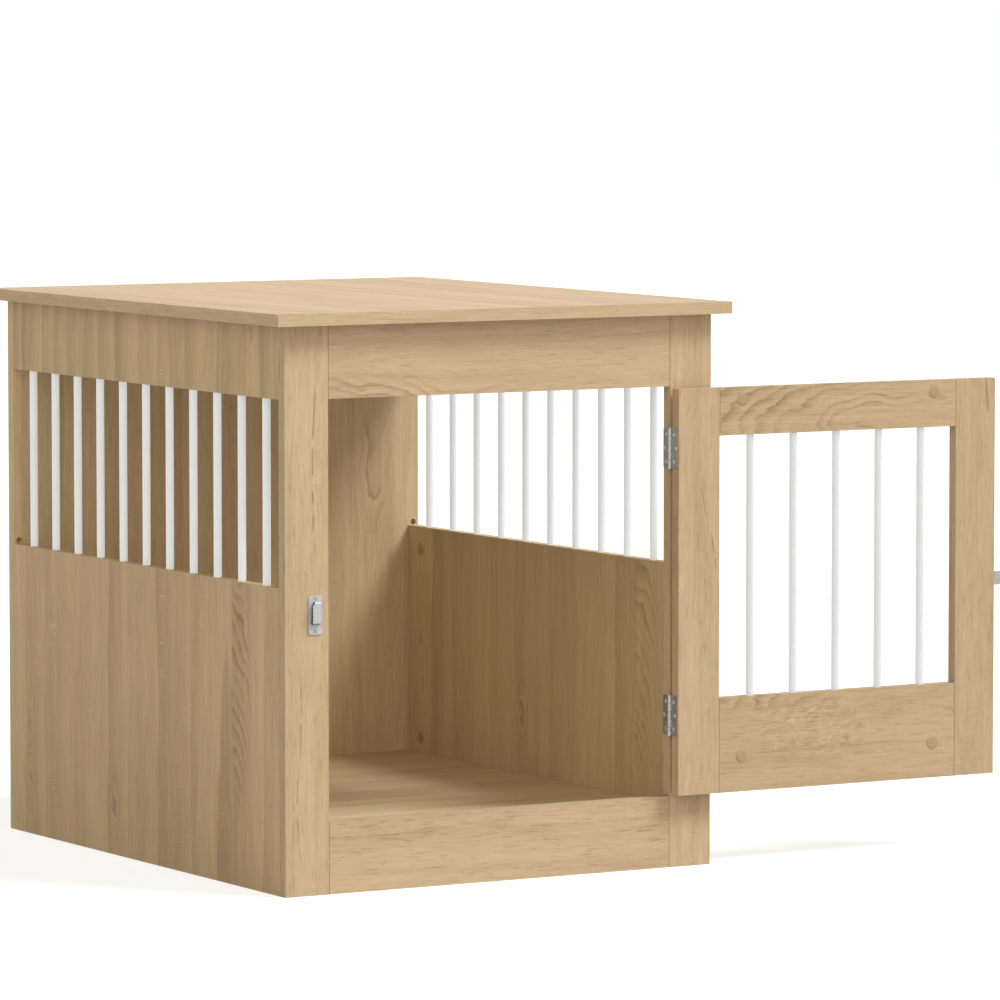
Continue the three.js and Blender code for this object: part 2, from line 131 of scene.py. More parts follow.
def cloud(place, stretch, shift=(0, 0, 0), detail=2.0, roughness=0.5):
    """Noise about 0.5, with this many lumps a metre along, across and through the board."""
    scaled = place.node(
        "VectorMath", {"operation": "MULTIPLY_ADD"}, {0: place, 1: stretch, 2: shift}
    )
    return place.node(
        "TexNoise", None, {"Vector": scaled, "Scale": 1.0, "Detail": detail, "Roughness": roughness}
    )


def blend_colours(mask, first, second):
    return mask.node(
        "Mix", {"data_type": "RGBA"}, {"Factor": mask, 6: first, 7: second}, output=2
    )


def new_finish(name):
    finish = bpy.data.materials.new(name)
    finish.use_nodes = True
    finish.node_tree.nodes.clear()
    return finish, Wire(finish.node_tree)


def show(surface):
    made = surface.tree.nodes.new("ShaderNodeOutputMaterial")
    surface.tree.links.new(surface.socket, made.inputs["Surface"])


def root(value):
    return value.math("SQRT", value)


def oval(lengthwise, crosswise, middle, reach):
    """1 in the middle of an oval on the board, falling to 0 at its edge."""
    along = (lengthwise - middle[0]) / reach[0]
    across = (crosswise - middle[1]) / reach[1]
    return 1 - rising(root(along * along + across * across), 0.4, 1.0)


def cathedral(pith, rise, ring_width, middle, reach, weight=0.35, stave=None):
    """Growth rings that the saw cut at a slant: nested ovals round the pith, `rise` times as broad
    as they are long, each darkening to its outer edge. They show in an oval of the board, and where
    a stave is given only between its two edges."""

    def draw(grain, lengthwise, crosswise, tone):
        down = (lengthwise - pith[0]) * rise
        aside = crosswise - pith[1]
        wobble = cloud(grain, (9, 42, 42), (pith[0] * 9, 1, 7), 2) - 0.5
        tear = cloud(grain, (30, 240, 240), (pith[1] * 9, 2, 6), 2) - 0.5
        uneven = cloud(grain, (13, 11, 11), (pith[0] * 9, 4, 2), 1) - 0.5
        ring = root(down * down + aside * aside) / ring_width
        ring = ring + uneven * 3.4 + wobble * 1.3 + tear * 0.45
        year = ring.math("FRACT", ring)
        fortune = ring.node(
            "TexWhiteNoise", {"noise_dimensions": "1D"}, {"W": ring.math("FLOOR", ring)}
        )
        summer = rising(year, 0.15, 0.80) * 0.6 + rising(year, 0.60, 0.85) * 0.4
        strength = rising(cloud(grain, (5, 30, 30), (1, pith[0] * 9, 3), 1), 0.30, 0.62)
        mask = summer * (1 - rising(year, 0.88, 1.0)) * oval(lengthwise, crosswise, middle, reach)
        mask = mask * (0.35 + strength * 0.65) * (0.30 + fortune * 0.95)
        if stave:
            ragged = crosswise + tear * 0.002
            mask = mask * rising(ragged, stave[0], stave[0] + 0.002)
            mask = mask * (1 - rising(ragged, stave[1] - 0.002, stave[1]))
        return tone - mask * weight

    return draw


def knot(place, radius, weight=0.45):
    """A small knot: a dark eye with the rings drawn tight round it."""
    rings = cathedral(place, 0.38, radius * 0.55, place, (radius * 6, radius * 2.6), weight * 0.55)

    def draw(grain, lengthwise, crosswise, tone):
        torn = (cloud(grain, (70, 190, 190), (place[0] * 9, 6, 2), 3) - 0.5) * radius * 3.2
        eye = oval(lengthwise + torn, crosswise + torn, place, (radius * 2.0, radius * 0.7))
        halo = oval(lengthwise - torn, crosswise + torn, place, (radius * 3.2, radius * 1.3))
        return rings(grain, lengthwise, crosswise, tone) - eye * weight + halo * weight * 0.35

    return draw


def check_line(start, end, width=0.0012, weight=0.4):
    """A drying check: a fine dark line that comes and goes between two places on the board."""
    slope = (end[1] - start[1]) / (end[0] - start[0])
    middle = ((start[0] + end[0]) / 2, (start[1] + end[1]) / 2)
    reach = abs(end[0] - start[0]) / 2

    def draw(grain, lengthwise, crosswise, tone):
        stray = (cloud(grain, (16, 3, 3), (start[0] * 9, start[1] * 9, 2), 2) - 0.5) * 0.006
        off = crosswise - start[1] - (lengthwise - start[0]) * slope + stray
        line = 1 - rising(off.math("ABSOLUTE", off), width * 0.3, width)
        there = oval(lengthwise, crosswise, middle, (reach, 1.0))
        broken = rising(cloud(grain, (34, 5, 5), (4, start[1] * 9, 1), 2), 0.36, 0.52)
        return tone - line * there * broken * weight

    return draw


def burr(middle, reach, weight=0.3):
    """A patch where the grain curls, in short strokes both darker and paler than the board."""

    def draw(grain, lengthwise, crosswise, tone):
        swirl = cloud(grain, (26, 60, 60), (middle[0] * 9, 3, 1), 3) - 0.5
        turned = grain.node(
            "VectorMath",
            {"operation": "ADD"},
            {0: grain, 1: grain.node("CombineXYZ", None, {0: swirl * 0.05, 1: swirl * 0.05})},
        )
        strokes = cloud(turned, (60, 260, 60), (2, middle[1] * 9, 4), 2) - 0.5
        return tone + strokes * oval(lengthwise, crosswise, middle, reach) * weight * 3

    return draw


light_oak = (0.680, 0.512, 0.347, 1)
dark_oak = (0.314, 0.211, 0.111, 1)
glue_line_width = 0.0011


def oak(
    name, node, along, across, shift, paler=0.0, staves=0.12, stave_count=22.0, strokes=1.0,
    marks=1.0, tint=(1, 1, 1), seams=False, figures=(),
):
    """The laminate's print on one board. Its grain runs along one axis, and `shift` says which
    stretch of the print the board was sawn from. Staves are the glued strips whose tones differ,
    strokes the open pores, marks the pale scratches that the saw left across the grain, and tint
    changes the board's red, green and blue. On some boards paler and tint are painted light or
    shade, for the light that falls on them."""
    finish, start = new_finish("oak_" + name)
    through = 3 - along - across
    texture = start.node("TexCoord", output="Object")
    axes = [texture.node("SeparateXYZ", None, {0: texture}, output=axis) for axis in (0, 1, 2)]
    facing = texture.output("Normal")
    facing_along = facing.node("SeparateXYZ", None, {0: facing}, output=along)
    on_end = facing_along.math("ABSOLUTE", facing_along) > 0.7
    face_place = start.node(
        "CombineXYZ", None, {0: axes[along], 1: axes[across], 2: axes[through]}
    )
    end_place = start.node("CombineXYZ", None, {0: axes[across], 1: axes[through], 2: axes[along]})
    place = start.node(
        "Mix", {"data_type": "VECTOR"}, {"Factor": on_end, 4: face_place, 5: end_place}, output=1
    )

    # The grain wanders a little from straight
    sway = cloud(place, (1.6, 7, 7), (shift, shift * 2, 0), 2) - 0.5
    ripple = cloud(place, (7, 34, 34), (0, shift, 3), 2) - 0.5
    bend = sway * 0.036 + ripple * 0.010
    grain = start.node(
        "VectorMath",
        {"operation": "ADD"},
        {0: place, 1: start.node("CombineXYZ", None, {1: bend, 2: bend})},
    )
    lengthwise, crosswise = [
        grain.node("SeparateXYZ", None, {0: grain}, output=axis) for axis in (0, 1)
    ]

    bands = cloud(grain, (0.9, 17, 17), (shift, 5, shift), 2) - 0.5
    patches = cloud(grain, (6, 26, 26), (shift, 8, 3), 2) - 0.5
    streaks = cloud(grain, (3.2, 75, 75), (1, shift, 2), 2, 0.6) - 0.5
    fibres = cloud(grain, (17, 300, 300), (shift, 3, 1), 3, 0.65) - 0.5
    pores = rising(cloud(grain, (34, 520, 520), (4, shift, 9), 1), 0.58, 0.72)
    flecks = rising(cloud(grain, (30, 440, 440), (7, shift, 2), 1), 0.60, 0.74)
    tone = 0.65 + paler + bands * 0.42 + patches * 0.28 + streaks * 0.38 + fibres * 0.46
    tone = tone - pores * 0.20 * strokes + flecks * 0.13

    # Each stave darkens towards one ragged edge, as quarter-sawn strips do, and the next starts pale
    frayed = crosswise + fibres * 0.0035 + ripple * 0.004
    strip = frayed * stave_count + (cloud(grain, (0.4, 9, 9), (shift, 2, 7), 2) - 0.5) * 2.2 + shift
    side = strip.math("FRACT", strip)
    number = strip.math("FLOOR", strip)
    chance = strip.node("TexWhiteNoise", {"noise_dimensions": "1D"}, {"W": number})
    shade = rising(side, 0.05, 0.97) * (1 - rising(side, 0.965, 1.0))
    tone = tone - (shade * (0.3 + chance * 1.4) - 0.5) * staves

    for figure in figures:
        tone = figure(grain, lengthwise, crosswise, tone)

    # Saw marks: a few short pale scratches side by side, here and there
    scratches = rising(cloud(place, (420, 26, 26), (2, shift, 5), 1), 0.60, 0.74)
    where = rising(cloud(place, (9, 24, 24), (shift, 1, 4), 1), 0.60, 0.70)
    tone = tone + scratches * where * 0.17 * marks

    dark, light = (
        tuple(part * change for part, change in zip(shade_of_oak, (*tint, 1)))
        for shade_of_oak in (dark_oak, light_oak)
    )
    colour = blend_colours(tone, dark, light)

    # The glue line shows dark where the board's ends butt against its neighbours
    if seams:
        low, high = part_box(node)
        to_end = axes[along].math("MINIMUM", axes[along] - low[along], high[along] - axes[along])
        glue = 1 - rising(to_end, glue_line_width * 0.5, glue_line_width)
        colour = blend_colours(glue * 0.75, colour, dark_oak)

    bump = start.node(
        "Bump", None, {"Strength": 0.25, "Distance": 0.0003, "Height": fibres * 0.6 - pores}
    )
    surface = start.node(
        "BsdfPrincipled",
        None,
        {
            "Base Color": colour,
            "Roughness": 0.58 + streaks * 0.15 + pores * 0.12,
            "Normal": bump,
            "Specular IOR Level": 0.16,
        },
    )
    show(surface)
    return finish


def soften(piece, width, segments=2, angle=math.radians(50)):
    """Takes the sharpness off a piece's edges."""
    bevel = piece.modifiers.new("soft_edges", "BEVEL")
    bevel.width = width
    bevel.segments = segments
    bevel.limit_method = "ANGLE"
    bevel.angle_limit = angle
    bevel.use_clamp_overlap = False


board_softness, fitting_softness, keeper_softness = 0.0004, 0.00015, 0.0002


def laminate(node, along, across, shift, **print_choices):
    """Gives a board's CAD solid its laminate and its softened edges."""
    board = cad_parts[node]
    board.data.materials.clear()
    board.data.materials.append(oak(node, node, along, across, shift, **print_choices))
    soften(board, board_softness)


# Painted light: paler lifts the top's print for the light that falls on it from above.
laminate("top_panel", Y, X, 1.7, paler=0.08, marks=0.4)

# ---- The front frame ----------------------------------------------------------------------------
# Two full-height stiles with a rail let in between them at the top and at the foot, all of the
# same board: upright grain on the stiles, level grain on the rails.

laminate(
    "front_stile_left", Z, X, 3.1, paler=-0.07, staves=0.08, strokes=1.3, figures=[
        check_line((0.36, -0.266), (0.70, -0.262), width=0.0018, weight=0.5),
        check_line((0.02, -0.281), (0.30, -0.276)),
    ],
)
laminate("front_stile_right", Z, X, 9.4, staves=0.06)
laminate(
    "front_rail_top", X, Z, 5.3, staves=0.05, seams=True, figures=[
        cathedral((-0.25, 0.575), 0.28, 0.0075, (-0.17, 0.612), (0.14, 0.034), weight=0.42),
    ],
)
laminate("front_rail_bottom", X, Z, 12.6, staves=0.08, strokes=1.4, seams=True)

# ---- The back panel and the floor panel ---------------------------------------------------------
# The back panel closes the whole back, and the floor panel lies between it and the front frame.

# Painted light: paler and tint lift the back panel's print and turn it towards the hue of the light
# inside the cabinet.
laminate(
    "back_panel", Z, X, 21.2, paler=0.20, marks=1.6, tint=(0.985, 1, 0.94), figures=[
        cathedral((0.66, 0.234), 0.13, 0.009, (0.48, 0.236), (0.15, 0.034), weight=0.45),
    ],
)
# Painted light: the floor panel's paler and tint lift its print and turn it towards the hue of the
# light inside the cabinet.
laminate("floor_panel", X, Y, 7.9, paler=0.24, tint=(0.97, 1, 0.93))

# ---- The side walls -----------------------------------------------------------------------------
# A panel below and a rail above on each side, with a row of blind holes in the facing edges. The
# panels' print has a feathered stave near the front and a knot or two.

# Painted shade: tint warms the left panel's print to the hue of the shade on that side.
laminate(
    "side_panel_left", Z, Y, 14.2, paler=0.03, staves=0.20, stave_count=12.0, strokes=0.5,
    marks=1.9, tint=(1.03, 1, 0.96), figures=[
        cathedral(
            (-0.05, 0.129), 0.24, 0.0060, (0.24, 0.118), (0.21, 0.060), 0.45, stave=(0.060, 0.129)
        ),
        knot((0.062, 0.455), 0.010),
        knot((0.150, 0.694), 0.011, 0.3),
        knot((0.075, 0.690), 0.009, 0.3),
    ],
)
# Painted light: paler and tint lift the right panel's print, whose inner face is seen in the
# cabinet's shade.
laminate(
    "side_panel_right", Z, Y, 17.5, paler=0.16, staves=0.20, stave_count=12.0, strokes=0.5,
    tint=(0.96, 1, 0.94), figures=[
        cathedral(
            (-0.03, 0.152), 0.24, 0.0060, (0.26, 0.140), (0.20, 0.060), 0.5, stave=(0.084, 0.152)
        ),
        knot((0.148, 0.432), 0.011),
        knot((0.225, 0.700), 0.012, 0.35),
        knot((0.160, 0.694), 0.009, 0.35),
    ],
)
# Painted shade: tint warms the left rail's print to the hue of the shade on that side.
laminate(
    "side_rail_left", Z, Y, 16.5, staves=0.22, strokes=0.5, marks=1.6, tint=(1.02, 1, 0.94),
    figures=[
        knot((0.682, 0.075), 0.009, 0.35),
    ],
)
laminate("side_rail_right", Z, Y, 19.8, staves=0.22, strokes=0.5)

# ---- The side bars ------------------------------------------------------------------------------
# Round steel bars, powder coated white, eleven a side. Each stands with its ends in the blind holes
# of the panel below and the rail above.


def powder_coat(name, greyest, whitest, glow):
    """White powder coat. Light sinks into it a little, and a painted glow of its own lifts its
    shaded side so that the bars shade softly. Its grey leans a little to blue, a painted offset for
    the warm light on it."""
    finish, start = new_finish(name)
    place = start.node("TexCoord", output="Object")
    peel = cloud(place, (900, 900, 900), detail=2) - 0.5
    tint = cloud(place, (14, 14, 14), (3, 1, 2), 2)
    colour = blend_colours(tint, greyest, whitest)
    bump = start.node("Bump", None, {"Strength": 0.12, "Distance": 0.0002, "Height": peel})
    surface = start.node(
        "BsdfPrincipled",
        None,
        {
            "Base Color": colour,
            "Roughness": 0.34 + peel * 0.1,
            "Normal": bump,
            "Specular IOR Level": 0.3,
            "Subsurface Weight": 1.0,
            "Subsurface Radius": (1.0, 1.0, 1.0),
            "Subsurface Scale": 0.02,
            # Painted light: a faint glow of the coat's own, though it is no lamp.
            "Emission Color": (1, 1, 1, 1),
            "Emission Strength": glow,
        },
    )
    show(surface)
    return finish


# Painted light: the side bars' coat is a lighter copy of the door bars' coat, lifted for the shade
# that the side bars stand in.
side_coat = powder_coat("side_bar_coat", (0.44, 0.46, 0.50, 1), (0.48, 0.50, 0.54, 1), 0.36)


def finished_mesh(shape, name):
    """The mesh drawn so far, with its faces turned outward."""
    bmesh.ops.recalc_face_normals(shape, faces=shape.faces)
    mesh = bpy.data.meshes.new(name)
    shape.to_mesh(mesh)
    shape.free()
    return mesh


def join_rings(shape, rings, sides):
    """Draws faces from each ring of corners to the next. A ring of one corner is a tip."""
    for first, second in zip(rings, rings[1:]):
        for i in range(sides):
            corners = [first[i % len(first)], first[(i + 1) % len(first)]]
            corners += [second[(i + 1) % len(second)], second[i % len(second)]]
            shape.faces.new(list(dict.fromkeys(corners)))


def turn(name, profile, sides=48):
    """A turned piece about Z, from (radius, height) steps, lowest first."""
    shape = bmesh.new()
    rings = []
    for radius, height in profile:
        if radius == 0:
            rings.append([shape.verts.new((0, 0, height))])
        else:
            angles = (2 * math.pi * i / sides for i in range(sides))
            rings.append([
                shape.verts.new((radius * math.cos(a), radius * math.sin(a), height))
                for a in angles
            ])
    join_rings(shape, rings, sides)
    return finished_mesh(shape, name)


def round_off(mesh, sharp_above=math.radians(35)):
    mesh.polygons.foreach_set("use_smooth", [True] * len(mesh.polygons))
    mesh.set_sharp_from_angle(angle=sharp_above)


def place_piece(name, mesh, body, finish):
    mesh.materials.clear()
    mesh.materials.append(finish)
    piece = bpy.data.objects.new(name, mesh)
    bpy.context.scene.collection.objects.link(piece)
    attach(piece, body)
    return piece


def coated_bar(node, body, finish):
    """A round bar with chamfered ends, in the place of its CAD solid."""
    low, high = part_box(node)
    radius = (high.x - low.x) / 2
    chamfer = radius * 0.1
    length = high.z - low.z
    mesh = turn(
        node,
        [
            (0, 0),
            (radius - chamfer, 0),
            (radius, chamfer),
            (radius, length - chamfer),
            (radius - chamfer, length),
            (0, length),
        ],
    )
    round_off(mesh)
    mesh.transform(Matrix.Translation(((low.x + high.x) / 2, (low.y + high.y) / 2, low.z)))
    bar = place_piece("coated_" + node, mesh, body, finish)
    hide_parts(node)


for node in sorted(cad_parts):
    if node.startswith("side_bar_"):
        coated_bar(node, "cabinet", side_coat)

# ---- The butt hinges' frame leaves and pins -----------------------------------------------------
# Pressed steel, zinc plated. Each leaf is screwed to the stile's edge by three countersunk screws,
# and its three knuckles are rolled round a headed pin.


def zinc(name, dull, bright, metallic, roughness, blue=0.985):
    """Zinc plate: a faint crystal pattern and fine lines. `blue` is the share of its grey that the
    blue channel has, so that the plate is cold above 1 and warm below."""
    finish, start = new_finish(name)
    place = start.node("TexCoord", output="Object")
    spangle = cloud(place, (260, 260, 260), (1, 2, 3), 3)
    rub = cloud(place, (60, 60, 2400), (0, 0, 0), 2) - 0.5
    colour = blend_colours(
        rising(spangle, 0.3, 0.7), (dull, dull, dull * blue, 1), (bright, bright, bright * blue, 1)
    )
    bump = start.node("Bump", None, {"Strength": 0.08, "Distance": 0.0001, "Height": rub})
    surface = start.node(
        "BsdfPrincipled",
        None,
        {
            "Base Color": colour,
            "Metallic": metallic,
            "Roughness": roughness + rub * 0.12 + spangle * 0.06,
            "Normal": bump,
        },
    )
    show(surface)
    return finish


# The hinges' zinc is a darker grey than the other plate: painted shade for the gap between the door
# and the stile, where the hinges sit.
hinge_zinc_painted_shade = zinc("hinge_zinc_painted_shade", 0.34, 0.44, 0.7, 0.40)
leaf_screw_zinc = zinc("screw_zinc", 0.55, 0.70, 0.6, 0.34)


def plate_in_zinc(node, finish):
    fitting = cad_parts[node]
    fitting.data.materials.clear()
    fitting.data.materials.append(finish)
    soften(fitting, fitting_softness)


def countersunk_screw(name, body, head_middle, facing, finish=leaf_screw_zinc):
    """A countersunk cross-head screw, its head flush with the plate that it holds but for its
    low crown."""
    head_radius, crown, plate_thickness = 0.0028, 0.0004, 0.0012
    shank_radius, shank_end = 0.0015, -0.006
    cross_radius, cross_half_width, cross_depth, cross_least_depth = 0.0016, 0.0004, 0.0007, 0.0002
    sides, head_steps = 48, 8
    shape = bmesh.new()
    rings = []
    for step in range(head_steps + 1):
        radius = head_radius * step / head_steps
        ring = []
        for i in range(sides if step else 1):
            angle = 2 * math.pi * i / sides
            x, y = radius * math.cos(angle), radius * math.sin(angle)
            in_cross = min(abs(x), abs(y)) < cross_half_width and radius < cross_radius
            sunk = cross_depth * (1 - radius / cross_radius) + cross_least_depth if in_cross else 0
            ring.append(shape.verts.new((x, y, crown * (1 - (radius / head_radius) ** 2) - sunk)))
        rings.append(ring)
    for radius, height in (
        (shank_radius, -plate_thickness), (shank_radius, shank_end * 0.75), (0, shank_end)
    ):
        rings.append([
            shape.verts.new((radius * math.cos(a), radius * math.sin(a), height))
            for a in (2 * math.pi * i / sides for i in range(sides if radius else 1))
        ])
    join_rings(shape, rings, sides)
    mesh = finished_mesh(shape, name)
    round_off(mesh)
    mesh.transform(Vector(facing).to_track_quat("Z", "Y").to_matrix().to_4x4())
    mesh.transform(Matrix.Translation(head_middle))
    place_piece(name, mesh, body, finish)


screw_spacing = 0.017
leaf_face_from_pin = 0.0006
outer_screw_from_leaf_end, middle_screw_from_leaf_end = 0.0075, 0.0037


def hinge_leaf(node, body, end_side):
    """Finishes one leaf and drives its screws. end_side is the side of the pin that it lies on."""
    plate_in_zinc(node, hinge_zinc_painted_shade)
    low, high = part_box(node)
    pin_x, middle_z = (low.x + high.x) / 2, (low.z + high.z) / 2
    leaf_end = high.y if end_side > 0 else low.y
    for number, rise in enumerate((screw_spacing, 0, -screw_spacing), 1):
        inset = outer_screw_from_leaf_end if rise else middle_screw_from_leaf_end
        head = (pin_x + leaf_face_from_pin, leaf_end - end_side * inset, middle_z + rise)
        countersunk_screw(f"{node}_screw_{number}", body, head, (-1, 0, 0))


for place in ("upper", "lower"):
    hinge_leaf(f"hinge_{place}_frame_leaf", "cabinet", 1)
    plate_in_zinc(f"hinge_{place}_pin", hinge_zinc_painted_shade)

# ---- The bolt keeper ----------------------------------------------------------------------------
# A plate pressed from zinc-plated sheet, with a raised pocket that is open towards the door for the
# bolt's end. Two countersunk screws above and below the pocket hold it to the left stile.

keeper_zinc = zinc("keeper_zinc", 0.47, 0.53, 0.30, 0.50, blue=1.08)
# Painted shade: a dark zinc laid where shade falls on the keeper's pocket.
painted_shade_zinc = zinc("painted_shade_zinc", 0.09, 0.14, 0.30, 0.55)
keeper_screw_zinc = zinc("keeper_screw_zinc", 0.30, 0.38, 0.30, 0.50)
sheet_thickness = 0.0012


def round_corner(middle, radius, start, end, steps=6):
    """Points on a quarter turn or less, by its angles in degrees."""
    angles = (math.radians(start + (end - start) * i / steps) for i in range(steps + 1))
    return [(middle[0] + radius * math.cos(a), middle[1] + radius * math.sin(a)) for a in angles]


def add_prism(shape, outline, axis, low, high):
    """Adds the outline to a mesh, drawn out along an axis; its points are on the other two."""
    across = [other for other in (X, Y, Z) if other != axis]
    ends = []
    for level in (low, high):
        corners = []
        for a, b in outline:
            corner = [0, 0, 0]
            corner[axis], corner[across[0]], corner[across[1]] = level, a, b
            corners.append(shape.verts.new(corner))
        ends.append(corners)
    first, last = ends
    shape.faces.new(first)
    shape.faces.new(last)
    for i in range(len(outline)):
        j = (i + 1) % len(outline)
        shape.faces.new((first[i], first[j], last[j], last[i]))


def pressed_keeper():
    """The plate with its rounded corners, and on it the pocket for the bolt's end."""
    low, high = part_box("bolt_keeper")
    corner, bend = 0.0045, 0.0022
    cut_height, cut_width = 0.0048, 0.0038
    pocket_length, pocket_width = 0.0276, 0.0115
    pocket_rise, pocket_from_edge = 0.0026, 0.0044
    screw_inset = 0.0042
    faces_away, faces_down = -0.85, -0.6
    plate_front = high.y - sheet_thickness

    shape = bmesh.new()
    plate = []
    for side_x, side_z, start in ((1, 1, 0), (-1, 1, 90), (-1, -1, 180), (1, -1, 270)):
        turn_x = (high.x if side_x > 0 else low.x) - side_x * corner
        turn_z = (high.z if side_z > 0 else low.z) - side_z * corner
        plate += round_corner((turn_x, turn_z), corner, start, start + 90)
    add_prism(shape, plate, Y, plate_front, high.y)

    middle_z = (low.z + high.z) / 2 + pocket_rise
    foot, head = middle_z - pocket_length / 2, middle_z + pocket_length / 2
    inner = bend - sheet_thickness
    buried = sheet_thickness / 2
    outside = [(plate_front + buried, foot)]
    outside += round_corner((low.y + bend, foot + bend), bend, 270, 180)
    outside += [(low.y, head - cut_height)]
    outside += round_corner((low.y + bend, head - bend), bend, 180, 90)
    outside += [(plate_front + buried, head)]
    inside = [(plate_front + buried, head - sheet_thickness)]
    inside += round_corner((low.y + bend, head - bend), inner, 90, 180)
    inside += [(low.y + sheet_thickness, head - cut_height)]
    inside += round_corner((low.y + bend, foot + bend), inner, 180, 270)
    inside += [(plate_front + buried, foot + sheet_thickness)]
    mouth = high.x - pocket_from_edge
    far_end = mouth - pocket_width
    wall_set_back = 0.00005
    add_prism(shape, outside + inside, X, far_end, mouth)
    add_prism(shape, inside, X, far_end + wall_set_back, far_end + sheet_thickness)

    # The pocket's upper corner away from the door is cut off at a slant
    for vertex in shape.verts:
        above = vertex.co.z - (head - cut_height)
        if above > 0 and far_end - 1e-6 < vertex.co.x < mouth - pocket_width / 2:
            vertex.co.x += above / cut_height * cut_width

    mesh = finished_mesh(shape, "pressed_keeper")
    keeper = place_piece("pressed_keeper", mesh, "cabinet", keeper_zinc)

    # Painted shade: the pocket's wall away from the door and its lower bend take the dark zinc, for
    # the shade that falls there.
    mesh.materials.append(painted_shade_zinc)
    for side in mesh.polygons:
        on_pocket = side.center.y < plate_front
        if on_pocket and (side.normal.x < faces_away or side.normal.z < faces_down):
            side.material_index = 1
    soften(keeper, keeper_softness)
    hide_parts("bolt_keeper")
    for name, z in (("upper", high.z - screw_inset), ("lower", low.z + screw_inset)):
        head_middle = ((low.x + high.x) / 2, plate_front, z)
        countersunk_screw(
            f"keeper_screw_{name}", "cabinet", head_middle, (0, -1, 0), keeper_screw_zinc
        )


pressed_keeper()

# ---- The door -----------------------------------------------------------------------------------
# Two stiles and two rails of the same board, drawn together by cam locks, with five coated bars
# between the rails. It hangs on the two hinges' other leaves.

laminate(
    "door_stile_hinge", Z, X, 31.0, paler=-0.04, staves=0.06, strokes=1.2, figures=[
        check_line((0.50, 0.270), (0.37, 0.299)),
        check_line((0.47, 0.285), (0.30, 0.301)),
    ],
)
laminate(
    "door_stile_latch", Z, X, 36.4, paler=-0.14, staves=0.05, figures=[
        check_line((0.61, 0.705), (0.54, 0.706), width=0.002, weight=0.5),
    ],
)
laminate(
    "door_rail_top", X, Z, 40.2, paler=-0.09, staves=0.04, seams=True, figures=[
        cathedral((0.547, 0.547), 0.31, 0.0088, (0.39, 0.575), (0.26, 0.075), weight=0.5),
    ],
)
laminate(
    "door_rail_bottom", X, Z, 44.8, paler=-0.16, staves=0.04, seams=True, figures=[
        cathedral((0.52, 0.183), 0.30, 0.0075, (0.37, 0.205), (0.11, 0.020), weight=0.4),
        burr((0.455, 0.165), (0.13, 0.048)),
    ],
)

# Painted shade: the door bars' coat is a darker copy of the side bars' coat, toned down for the
# light that falls full on the door.
door_coat = powder_coat("door_bar_coat", (0.36, 0.375, 0.405, 1), (0.40, 0.415, 0.445, 1), 0.35)

for node in sorted(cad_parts):
    if node.startswith("door_bar_"):
        coated_bar(node, "door", door_coat)

for place in ("upper", "lower"):
    hinge_leaf(f"hinge_{place}_door_leaf", "door", -1)

# ---- The cam locks' caps ------------------------------------------------------------------------
# A thin plastic cap in the laminate's tone is pushed over each cam lock's drum, four in the door's
# inner face and two in each side panel. It stands a little proud of the board.


def cap_finish():
    finish, start = new_finish("oak_toned_cap")
    place = start.node("TexCoord", output="Object")
    fleck = cloud(place, (90, 90, 500), (1, 2, 3), 3)
    colour = blend_colours(fleck, (0.37, 0.258, 0.142, 1), (0.47, 0.338, 0.198, 1))
    surface = start.node(
        "BsdfPrincipled", None, {"Base Color": colour, "Roughness": 0.5, "Specular IOR Level": 0.3}
    )
    show(surface)
    return finish


oak_cap = cap_finish()
cap_overlap, cap_height = 0.0006, 0.0007


def cover_cap(node, body, facing):
    """Caps the drum that shows in a board's face; facing is the way that face looks."""
    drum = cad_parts[node]
    drum.data.materials.clear()
    drum.data.materials.append(oak_cap)
    low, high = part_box(node)
    middle = (low + high) / 2
    direction = Vector(facing)
    half_depth = abs((high - low).dot(direction)) / 2
    radius = (high.z - low.z) / 2 + cap_overlap
    rim, shoulder = cap_height * 0.55, cap_height * 0.85
    mesh = turn(
        "cap_" + node,
        [
            (0, 0),
            (radius, 0),
            (radius, rim),
            (radius - 0.0003, shoulder),
            (radius - 0.0009, cap_height),
            (0, cap_height),
        ],
    )
    round_off(mesh)
    mesh.transform(direction.to_track_quat("Z", "Y").to_matrix().to_4x4())
    mesh.transform(Matrix.Translation(middle + direction * half_depth))
    place_piece("cap_" + node, mesh, body, oak_cap)


for node in sorted(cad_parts):
    if "_cam_" not in node:
        continue
    if node.startswith("door_"):
        cover_cap(node, "door", (0, -1, 0))
    elif node.startswith("side_panel_left"):
        cover_cap(node, "cabinet", (1, 0, 0))
    else:
        cover_cap(node, "cabinet", (-1, 0, 0))

# ---- The slide bolt -----------------------------------------------------------------------------
# A flat bar of zinc-plated steel that slides under the strap of its guide plate, moved by a turned
# knob. Four countersunk screws hold the guide to the door's outer face.

bolt_zinc = zinc("bolt_zinc", 0.36, 0.45, 0.7, 0.40)
guide_screw_inset = 0.0055

for node in ("bolt_guide", "slide_bolt"):
    plate_in_zinc(node, bolt_zinc)

low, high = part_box("bolt_guide")
corners = [(x, z) for x in (low.x, high.x) for z in (low.z, high.z)]
for number, (x, z) in enumerate(corners, 1):
    inward_x = math.copysign(guide_screw_inset, (low.x + high.x) / 2 - x)
    inward_z = math.copysign(guide_screw_inset, (low.z + high.z) / 2 - z)
    head_middle = (x + inward_x, low.y + sheet_thickness, z + inward_z)
    countersunk_screw(f"guide_screw_{number}", "door", head_middle, (0, 1, 0))


